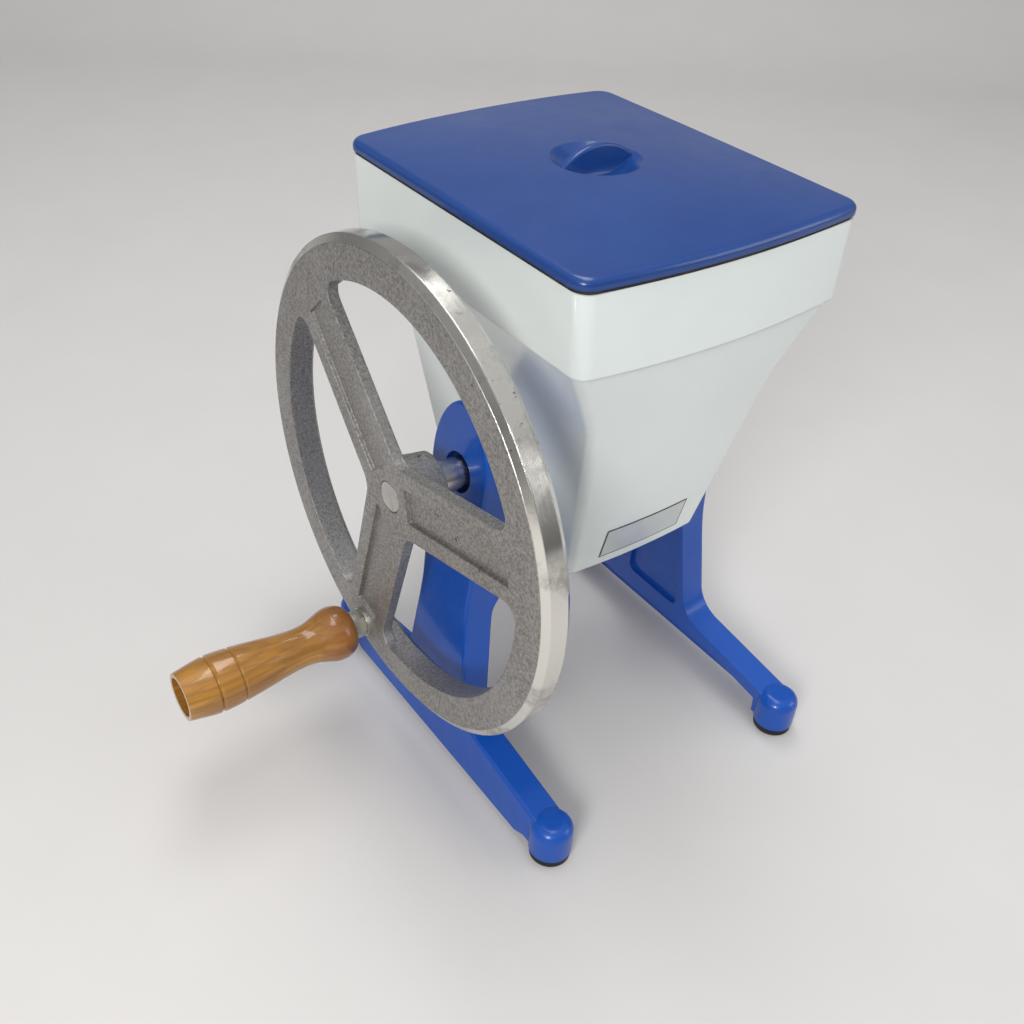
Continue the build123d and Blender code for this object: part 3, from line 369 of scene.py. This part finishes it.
# %% The blue and white paints
def paint(name, deep, pale, gloss, coat, waviness, edge_radius, chip_share, chip_colour):
    """Sprayed paint: two near shades, orange peel, waves of the casting and a few edge chips.

    gloss is the coat's roughness, coat its weight, and chip_share how much of an edge is bare.
    """
    material, shader = finish(
        name, Coat_Weight=coat, Coat_Roughness=gloss, Coat_IOR=1.5, Specular_IOR_Level=0.3,
    )
    place = place_of(material)
    shade = spread(material, noise(material, place, 14.0, detail=4.0), 0.35, 0.65)
    colour = blend_colour(material, shade, deep, pale)
    specks = noise(material, place, 420.0, detail=2.0)
    chips = combine(
        material, "MULTIPLY", worn_edges(material, 0.0012),
        spread(material, specks, 1.0 - chip_share, 1.02 - chip_share),
    )
    colour = blend_colour(material, chips, colour, chip_colour)
    join(material, colour, shader.inputs["Base Color"])
    smear = spread(material, noise(material, place, 35.0, detail=5.0), 0.3, 0.7, 0.30, 0.42)
    join(material, smear, shader.inputs["Roughness"])
    peel = noise(material, place, 700.0, detail=2.0)
    waves = noise(material, place, 55.0, detail=2.0)
    relief(
        material, shader, [(waves, waviness, 0.002), (peel, 0.12, 0.0003)], edge_radius,
    )
    return material


frame_blue = paint(
    "frame_blue", (0.0015, 0.064, 0.375), (0.0025, 0.075, 0.415), 0.09, 0.35, 0.22, 0.0012, 0.30,
    (0.20, 0.26, 0.40),
)
# Painted shade and sheen: the lid's blue is the frames' paint made darker and greyer, for its upward
# face.
shaded_lid_blue = paint(
    "shaded_lid_blue", (0.0050, 0.042, 0.205), (0.0070, 0.050, 0.230), 0.14, 0.5, 0.05, 0.0010, 0.24,
    (0.45, 0.50, 0.58),
)
hopper_white = paint(
    "hopper_white", (0.690, 0.745, 0.735), (0.720, 0.775, 0.765), 0.18, 0.6, 0.07, 0.0015, 0.22,
    (0.22, 0.21, 0.20),
)
print("paints:", frame_blue.name, shaded_lid_blue.name, hopper_white.name)

# %% [markdown]
# ## Cast aluminium with a turned rim
#
# The flywheel left the sand mould with a fine grey grain, and only its outer edge and the bevel in
# front were turned bright on a lathe. Both are the same metal, so one material tells them apart by
# the distance from the shaft: beyond a set radius the grain fades, the metal turns smooth and fine
# lines run round it. The turned surface has since dulled in blotches.

# %% The flywheel's metal
shaft_height = 0.219
wheel_low, wheel_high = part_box("flywheel")
wheel_radius = (wheel_high.z - wheel_low.z) / 2
turned_band = 0.0046               # how far the turned metal reaches in from the rim
turned_step = 0.0002               # half the width of the change from cast to turned
turned_from = wheel_radius - turned_band

cast_aluminium, shader = finish("cast_aluminium", Metallic=1.0, Specular_IOR_Level=0.5)
place = place_of(cast_aluminium)
radius = radius_round(cast_aluminium, shaft_height)
turned = spread(cast_aluminium, radius, turned_from - turned_step, turned_from + turned_step)

grain = noise(cast_aluminium, place, 620.0, detail=4.0, roughness=0.75)
patches = noise(cast_aluminium, place, 26.0, detail=4.0)
cast_colour = blend_colour(
    cast_aluminium, spread(cast_aluminium, grain, 0.30, 0.70), (0.17, 0.165, 0.16),
    (0.52, 0.505, 0.49),
)
cast_colour = blend_colour(
    cast_aluminium, spread(cast_aluminium, patches, 0.45, 0.75, 0.0, 0.35), cast_colour,
    (0.50, 0.49, 0.475),
)
tarnish = noise(cast_aluminium, place, 30.0, detail=6.0, roughness=0.65)
turned_colour = blend_colour(
    cast_aluminium, spread(cast_aluminium, tarnish, 0.52, 0.66), (0.74, 0.725, 0.68),
    (0.42, 0.40, 0.37),
)
metal = blend_colour(cast_aluminium, turned, cast_colour, turned_colour)
rust_spots = combine(
    cast_aluminium, "MULTIPLY",
    spread(cast_aluminium, noise(cast_aluminium, place, 190.0, detail=3.0), 0.66, 0.70),
    spread(cast_aluminium, noise(cast_aluminium, place, 12.0, detail=1.0), 0.58, 0.66),
)
metal = blend_colour(cast_aluminium, rust_spots, metal, (0.10, 0.055, 0.025))
join(cast_aluminium, metal, shader.inputs["Base Color"])
cast_roughness = spread(cast_aluminium, grain, 0.3, 0.7, 0.62, 0.44)
turned_roughness = spread(cast_aluminium, tarnish, 0.45, 0.66, 0.14, 0.34)
roughness = add_node(cast_aluminium, "Mix")
join(cast_aluminium, turned, roughness.inputs[0])
join(cast_aluminium, cast_roughness, roughness.inputs[2])
join(cast_aluminium, turned_roughness, roughness.inputs[3])
join(cast_aluminium, roughness.outputs[0], shader.inputs["Roughness"])

lathe_lines = noise(
    cast_aluminium, place_of(cast_aluminium, (2600.0, 1.0, 1.0)), 1.0, detail=2.0
)
as_cast = combine(cast_aluminium, "SUBTRACT", 1.0, turned)
relief(
    cast_aluminium, shader,
    [
        (combine(cast_aluminium, "MULTIPLY", grain, as_cast), 0.55, 0.0006),
        (combine(cast_aluminium, "MULTIPLY", lathe_lines, turned), 0.10, 0.0002),
    ],
    0.0013,
)
print("turned bright beyond", round(turned_from, 4), "m from the shaft")

# %% [markdown]
# ## Turned and ground steel
#
# The shaft is a ground bar with faint rings round it, the nuts and washers carry a zinc plating
# that has gone slightly yellow, and the blade is polished steel. They differ in colour, in gloss
# and in the direction of their marks, so one function makes them all, and the bronze of the bushes
# too.


# %% The steels
def steel(name, dark, light, dull, gloss, marks, mark_depth, edge_radius=0.0004):
    """Bare or plated metal, with tool marks that run as the stretched coordinates say.

    dull and gloss are the roughness of its dullest and its brightest places.
    """
    material, shader = finish(name, Metallic=1.0)
    place = place_of(material)
    cloud = spread(material, noise(material, place, 80.0, detail=5.0), 0.35, 0.68)
    join(material, blend_colour(material, cloud, dark, light), shader.inputs["Base Color"])
    join(
        material,
        spread(material, noise(material, place, 160.0, detail=4.0), 0.3, 0.7, gloss, dull),
        shader.inputs["Roughness"],
    )
    scratches = noise(material, place_of(material, marks), 1.0, detail=3.0, roughness=0.6)
    relief(material, shader, [(scratches, mark_depth, 0.0002)], edge_radius)
    return material


ground_steel = steel(
    "ground_steel", (0.42, 0.405, 0.385), (0.62, 0.605, 0.58), 0.36, 0.22, (2200, 30, 30), 0.16,
)
zinc_steel = steel(
    "zinc_steel", (0.50, 0.50, 0.43), (0.72, 0.72, 0.66), 0.42, 0.24, (300, 300, 300), 0.10,
    0.0007,
)
blade_steel = steel(
    "blade_steel", (0.50, 0.51, 0.52), (0.68, 0.69, 0.70), 0.30, 0.16, (1600, 60, 60), 0.10,
)
stainless_sheet = steel(
    "stainless_sheet", (0.44, 0.45, 0.46), (0.60, 0.61, 0.62), 0.36, 0.24, (40, 1500, 1500), 0.10,
)
bronze = steel(
    "bronze", (0.40, 0.24, 0.10), (0.58, 0.38, 0.17), 0.40, 0.25, (1800, 60, 60), 0.10,
)
print("steels:", ground_steel.name, zinc_steel.name, blade_steel.name, stainless_sheet.name)

# %% [markdown]
# ## Rubber
#
# The pads under the feet and the strip below the lid are black rubber, dull and a little dusty. A
# fine pebbled bump and an uneven grey bloom are enough at this size.

# %% The rubber
black_rubber, shader = finish("black_rubber", Specular_IOR_Level=0.35)
place = place_of(black_rubber)
dust = noise(black_rubber, place, 120.0, detail=5.0)
join(
    black_rubber,
    blend_colour(
        black_rubber, spread(black_rubber, dust, 0.45, 0.75), (0.012, 0.012, 0.013),
        (0.040, 0.039, 0.037),
    ),
    shader.inputs["Base Color"],
)
join(black_rubber, spread(black_rubber, dust, 0.3, 0.7, 0.55, 0.75), shader.inputs["Roughness"])
relief(black_rubber, shader, [(noise(black_rubber, place, 900.0), 0.3, 0.0002)], 0.0006)
print("rubber finished")

# %% [markdown]
# ## Varnished wood
#
# The handle was turned from one straight-grained billet, so the growth rings run along it as long
# streaks and show as ovals only where the profile curves. Stretching noise along the handle's own
# axis gives the streaks, a second and much finer one the pores, and a distorted wave the rings.
# The varnish on top is glossy and slightly uneven, and the knob next to the wheel has
# darkened to red-brown where a hand rubs it.

# %% The handle's wood
grip_low, grip_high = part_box("handle_grip")
grip_length = grip_high.x - grip_low.x
varnished_wood, shader = finish(
    "varnished_wood", Coat_Weight=0.85, Coat_Roughness=0.10, Coat_IOR=1.5,
    Specular_IOR_Level=0.35,
)
streaks = noise(
    varnished_wood, place_of(varnished_wood, (9.0, 170.0, 120.0)), 1.0, detail=5.0,
    roughness=0.6, distortion=0.6,
)
pores = noise(
    varnished_wood, place_of(varnished_wood, (110.0, 2200.0, 2200.0)), 1.0, detail=2.0,
)
rings = add_node(varnished_wood, "TexWave", Scale=1.0, Distortion=5.0, Detail=2.0)
rings.inputs["Detail Scale"].default_value = 0.8
rings.bands_direction = "Z"
join(
    varnished_wood, place_of(varnished_wood, (6.0, 30.0, 75.0)), rings.inputs["Vector"]
)
honey = blend_colour(
    varnished_wood, spread(varnished_wood, streaks, 0.32, 0.68), (0.235, 0.098, 0.013),
    (0.450, 0.212, 0.030),
)
honey = blend_colour(
    varnished_wood, spread(varnished_wood, rings.outputs["Fac"], 0.5, 1.0, 0.0, 0.45), honey,
    (0.240, 0.095, 0.013),
)
rubbed = spread(
    varnished_wood, part_of_place(varnished_wood, 0), grip_high.x - 0.30 * grip_length,
    grip_high.x - 0.06 * grip_length, 0.0, 0.6, smooth=True,
)
honey = blend_colour(varnished_wood, rubbed, honey, (0.225, 0.068, 0.012))
honey = blend_colour(
    varnished_wood, spread(varnished_wood, pores, 0.60, 0.72, 0.0, 0.35), honey,
    (0.120, 0.045, 0.010),
)
join(varnished_wood, honey, shader.inputs["Base Color"])
join(
    varnished_wood, spread(varnished_wood, streaks, 0.3, 0.7, 0.42, 0.30),
    shader.inputs["Roughness"],
)
relief(
    varnished_wood, shader,
    [(pores, 0.10, 0.0002), (noise(varnished_wood, place_of(varnished_wood), 90.0), 0.10, 0.001)],
    0.0006,
)
print("handle is", round(grip_length * 1000, 1), "mm long")

# %% [markdown]
# ## Give each CAD piece its finish
#
# The record names a material slot for every node. The table below carries each slot to a finish;
# the lid gets a darker, greyer and smoother copy of the frames' blue: the darkness is painted shade
# of its upward face, the grey a painted sheen.

# %% Assign the finishes
finish_of_slot = {
    "blue_paint": frame_blue, "white_paint": hopper_white, "cast_aluminium": cast_aluminium,
    "stainless_sheet": stainless_sheet, "blade_steel": blade_steel,
    "ground_steel": ground_steel, "zinc_steel": zinc_steel, "bronze": bronze,
    "black_rubber": black_rubber, "varnished_wood": varnished_wood,
}
finish_of_node = {"lid": shaded_lid_blue}
slot_of_node = {row["node"]: row["material_slot"] for row in frame["record"]["subparts"]}

for name, slot in slot_of_node.items():
    obj = frame["nodes"][name]
    obj.data.materials.clear()
    obj.data.materials.append(finish_of_node.get(name, finish_of_slot[slot]))
print("finishes given to", len(slot_of_node), "nodes")

# %% [markdown]
# ## A blank plate that follows the funnel
#
# Near its lower end the funnel carries a small pale plate with a thin dark border. It is left blank
# here. The funnel bulges, so a flat sheet would cut into it: Geometry Nodes make a grid in front of
# it, shoot every point of the grid back at the housing, and leave it a hair above the paint. The
# width, the height and the lift are inputs of the group, so the plate can be cut to another size.

# %% Build the plate's node group
plate_cells = (32, 8)              # of the grid, along the width and the height
shot_length = 0.5                  # how far in front of the housing the grid may stand


def plate_group():
    """A node group that lays a thin sheet on a target surface, seen from the front."""
    group = bpy.data.node_groups.new("plate_on_surface", "GeometryNodeTree")
    ids = {}
    for name, kind in (
        ("Target", "NodeSocketObject"), ("Width", "NodeSocketFloat"),
        ("Height", "NodeSocketFloat"), ("Middle", "NodeSocketVector"),
        ("Lift", "NodeSocketFloat"), ("Material", "NodeSocketMaterial"),
    ):
        ids[name] = group.interface.new_socket(name, in_out="INPUT", socket_type=kind).identifier
    group.interface.new_socket("Geometry", in_out="OUTPUT", socket_type="NodeSocketGeometry")

    def node(kind, **settings):
        """A node of this group, with its settings."""
        made = group.nodes.new(kind)
        for key, value in settings.items():
            setattr(made, key, value)
        return made

    def wire(source, target):
        """A link between two of its sockets."""
        group.links.new(source, target)

    inputs = node("NodeGroupInput").outputs
    grid = node("GeometryNodeMeshGrid")
    grid.inputs["Vertices X"].default_value = plate_cells[0] + 1
    grid.inputs["Vertices Y"].default_value = plate_cells[1] + 1
    wire(inputs["Width"], grid.inputs["Size X"])
    wire(inputs["Height"], grid.inputs["Size Y"])
    stand_up = node("GeometryNodeTransform")
    stand_up.inputs["Rotation"].default_value = (math.radians(90), 0.0, 0.0)
    wire(grid.outputs["Mesh"], stand_up.inputs["Geometry"])
    wire(inputs["Middle"], stand_up.inputs["Translation"])
    target = node("GeometryNodeObjectInfo", transform_space="RELATIVE")
    wire(inputs["Target"], target.inputs["Object"])
    shoot = node("GeometryNodeRaycast")
    shoot.inputs["Ray Direction"].default_value = (0.0, 1.0, 0.0)
    shoot.inputs["Ray Length"].default_value = shot_length
    wire(target.outputs["Geometry"], shoot.inputs["Target Geometry"])
    off = node("ShaderNodeVectorMath", operation="SCALE")
    wire(shoot.outputs["Hit Normal"], off.inputs[0])
    wire(inputs["Lift"], off.inputs["Scale"])
    above = node("ShaderNodeVectorMath", operation="ADD")
    wire(shoot.outputs["Hit Position"], above.inputs[0])
    wire(off.outputs["Vector"], above.inputs[1])
    lay = node("GeometryNodeSetPosition")
    wire(stand_up.outputs["Geometry"], lay.inputs["Geometry"])
    wire(above.outputs["Vector"], lay.inputs["Position"])
    paint_it = node("GeometryNodeSetMaterial")
    wire(lay.outputs["Geometry"], paint_it.inputs["Geometry"])
    wire(inputs["Material"], paint_it.inputs["Material"])
    wire(paint_it.outputs["Geometry"], node("NodeGroupOutput").inputs["Geometry"])
    return group, ids


group, ids = plate_group()


def plate(name, middle, size, lift, material):
    """One plain mesh laid on the hopper housing's front."""
    maker = mesh_object(name + "_maker", bpy.data.meshes.new(name + "_maker"))
    modifier = maker.modifiers.new("plate", "NODES")
    modifier.node_group = group
    settings = {
        "Target": frame["nodes"]["hopper_housing"], "Width": size[0], "Height": size[1],
        "Middle": middle, "Lift": lift, "Material": material,
    }
    for key, value in settings.items():
        modifier[ids[key]] = value
    maker.update_tag()
    depsgraph = bpy.context.evaluated_depsgraph_get()
    depsgraph.update()
    made = bpy.data.meshes.new_from_object(maker.evaluated_get(depsgraph))
    made.name = name
    bpy.data.objects.remove(maker)
    result = mesh_object(name, made)
    shade_smooth(result)
    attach(result, "stand")
    return result


plate_middle = (0.0, cad_box[0][1] + 0.001, 0.183)
plate_size = (0.064, 0.024)
border_width = 0.001
sheet_lift = 0.00015               # of one sheet above what it lies on
plate_border, shader = finish("plate_border", Roughness=0.5)
shader.inputs["Base Color"].default_value = (0.045, 0.048, 0.055, 1.0)
plate_face, shader = finish("plate_face", Metallic=0.35, Coat_Weight=0.3)
place = place_of(plate_face)
smudge = noise(plate_face, place, 60.0, detail=4.0)
join(
    plate_face, blend_colour(plate_face, smudge, (0.50, 0.53, 0.53), (0.58, 0.61, 0.61)),
    shader.inputs["Base Color"],
)
join(plate_face, spread(plate_face, smudge, 0.3, 0.7, 0.32, 0.46), shader.inputs["Roughness"])
inner_size = [side - 2 * border_width for side in plate_size]
border = plate("plate_border", plate_middle, plate_size, sheet_lift, plate_border)
face = plate("plate_face", plate_middle, inner_size, 2 * sheet_lift, plate_face)
print("plate of", len(border.data.polygons), "faces")

# %% [markdown]
# ## Close the lesson
#
# The last line prints the CAD model's box.

# %% Print the CAD model's box
print("cad box", cad_box)
